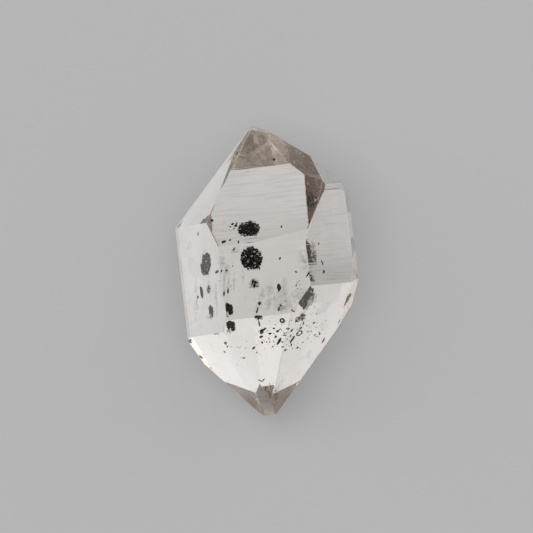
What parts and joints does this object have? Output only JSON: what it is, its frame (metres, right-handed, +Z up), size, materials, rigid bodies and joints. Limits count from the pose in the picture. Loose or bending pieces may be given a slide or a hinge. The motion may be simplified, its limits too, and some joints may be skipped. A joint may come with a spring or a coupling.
{
  "type": "herkimer diamond",
  "caption": "Clear quartz crystal with a six-sided prism closed by a point at each end, with black carbon grains sealed inside, lying on a prism face.",
  "frame": {"origin": "under the middle of the crystal, on the surface that it lies on", "axes": "+Y along the crystal's long axis towards its upper end, +Z up out of the front prism face, +X to the right seen from the front"},
  "size_m": [0.0186, 0.0298, 0.0162],
  "materials": {
    "clear_quartz": "clear, glossy faces with fine growth lines",
    "black_carbon": "dull black, stands in for carbon"
  },
  "bodies": {
    "root": {"crystal_right": "clear_quartz", "crystal_left": "clear_quartz", "carbon_grain_large": "black_carbon", "carbon_grain_small": "black_carbon", "carbon_grain_side": "black_carbon"}
  },
  "joints": []
}
